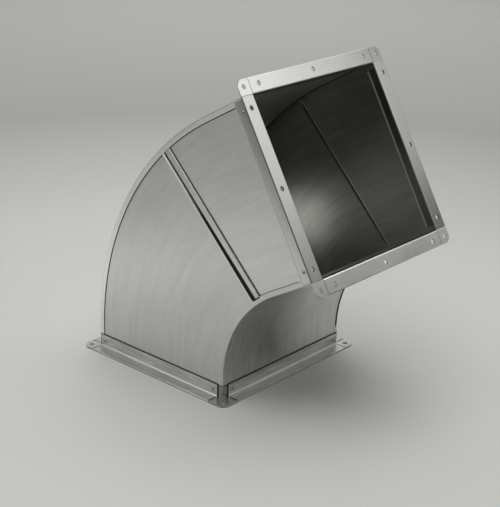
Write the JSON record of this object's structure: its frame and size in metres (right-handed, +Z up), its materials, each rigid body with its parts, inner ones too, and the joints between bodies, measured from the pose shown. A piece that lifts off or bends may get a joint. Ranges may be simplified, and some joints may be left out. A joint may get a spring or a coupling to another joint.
{
  "type": "rectangular duct elbow",
  "caption": "Square sheet-metal duct elbow turning sixty degrees, with curved heel and throat walls, seamed flat cheeks and bolted slide-on flanges at both mouths.",
  "frame": {"origin": "centre of the base flange's bolt pattern, on its mating face", "axes": "+Z up the base neck into the duct, +X towards the throat, the way the elbow turns; the near cheek faces -Y; the duct and its bolt holes are symmetric about the XZ plane"},
  "size_m": [0.5714, 0.37, 0.5903],
  "materials": {
    "duct_sheet": "brushed along the air path",
    "seam_strip": "brushed",
    "flange_profile": "brushed lengthwise",
    "corner_plate": "satin",
    "rivet": "satin",
    "joint_sealant": "matt"
  },
  "bodies": {
    "root": {"heel": "duct_sheet", "throat": "duct_sheet", "near_cheek_lower": "duct_sheet", "near_cheek_upper": "duct_sheet", "far_cheek_lower": "duct_sheet", "far_cheek_upper": "duct_sheet", "near_seam_cap": "seam_strip", "far_seam_cap": "seam_strip", "base_profile_heel": "flange_profile", "base_profile_throat": "flange_profile", "base_profile_near": "flange_profile", "base_profile_far": "flange_profile", "top_profile_heel": "flange_profile", "top_profile_throat": "flange_profile", "top_profile_near": "flange_profile", "top_profile_far": "flange_profile", "base_corner_heel_near": "corner_plate", "base_corner_heel_far": "corner_plate", "base_corner_throat_near": "corner_plate", "base_corner_throat_far": "corner_plate", "top_corner_heel_near": "corner_plate", "top_corner_heel_far": "corner_plate", "top_corner_throat_near": "corner_plate", "top_corner_throat_far": "corner_plate", "base_rivets": "rivet", "top_rivets": "rivet", "base_sealant": "joint_sealant", "top_sealant": "joint_sealant", "near_rim_sealant": "joint_sealant", "far_rim_sealant": "joint_sealant", "near_seam_sealant": "joint_sealant", "far_seam_sealant": "joint_sealant"}
  },
  "joints": []
}
